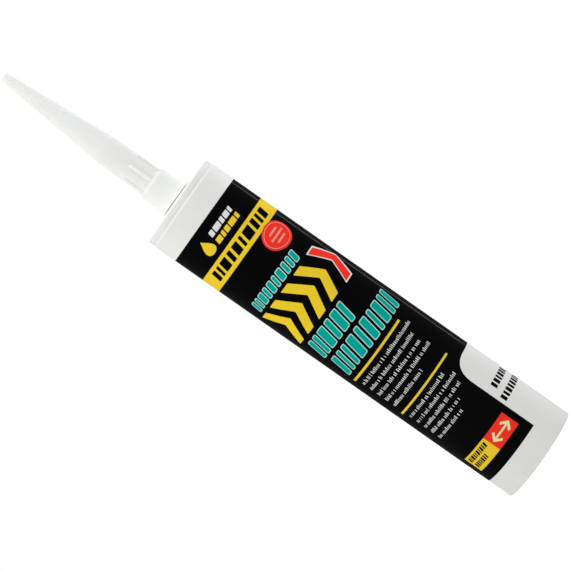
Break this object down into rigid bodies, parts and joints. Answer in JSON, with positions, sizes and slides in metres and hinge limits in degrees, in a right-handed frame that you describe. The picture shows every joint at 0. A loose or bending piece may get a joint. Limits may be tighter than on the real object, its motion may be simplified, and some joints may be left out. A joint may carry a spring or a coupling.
{
  "type": "caulk tube",
  "caption": "Cartridge of caulk or sealant: a printed plastic tube with a screw-on cone nozzle in front and a piston that slides in from the open rear end.",
  "frame": {"origin": "centre of the barrel's rear rim, on the surface that the tube stands on", "axes": "+Z along the barrel's axis towards the nozzle's tip; the printed front faces -Y; +X is the right side of that front"},
  "size_m": [0.0496, 0.0496, 0.3209],
  "materials": {
    "barrel_plastic": "moulded white polyethylene, satin gloss, printed",
    "nozzle_plastic": "moulded milky polyethylene, satin",
    "piston_plastic": "moulded white polyethylene, matt",
    "sealant_paste": "uncured sealant paste, wet sheen"
  },
  "bodies": {
    "barrel": {"barrel": "barrel_plastic", "sealant": "sealant_paste"},
    "piston": {"piston": "piston_plastic"},
    "nozzle": {"nozzle": "nozzle_plastic"}
  },
  "joints": [
    {"name": "piston_slide", "type": "slide", "parent": "barrel", "child": "piston", "axis": [0, 0, 1], "range_m": [0, 0.179], "deforming": ["sealant"]},
    {"name": "nozzle_lift", "type": "slide", "parent": "barrel", "child": "nozzle", "axis": [0, 0, 1], "range_m": [0, 0.04]}
  ]
}
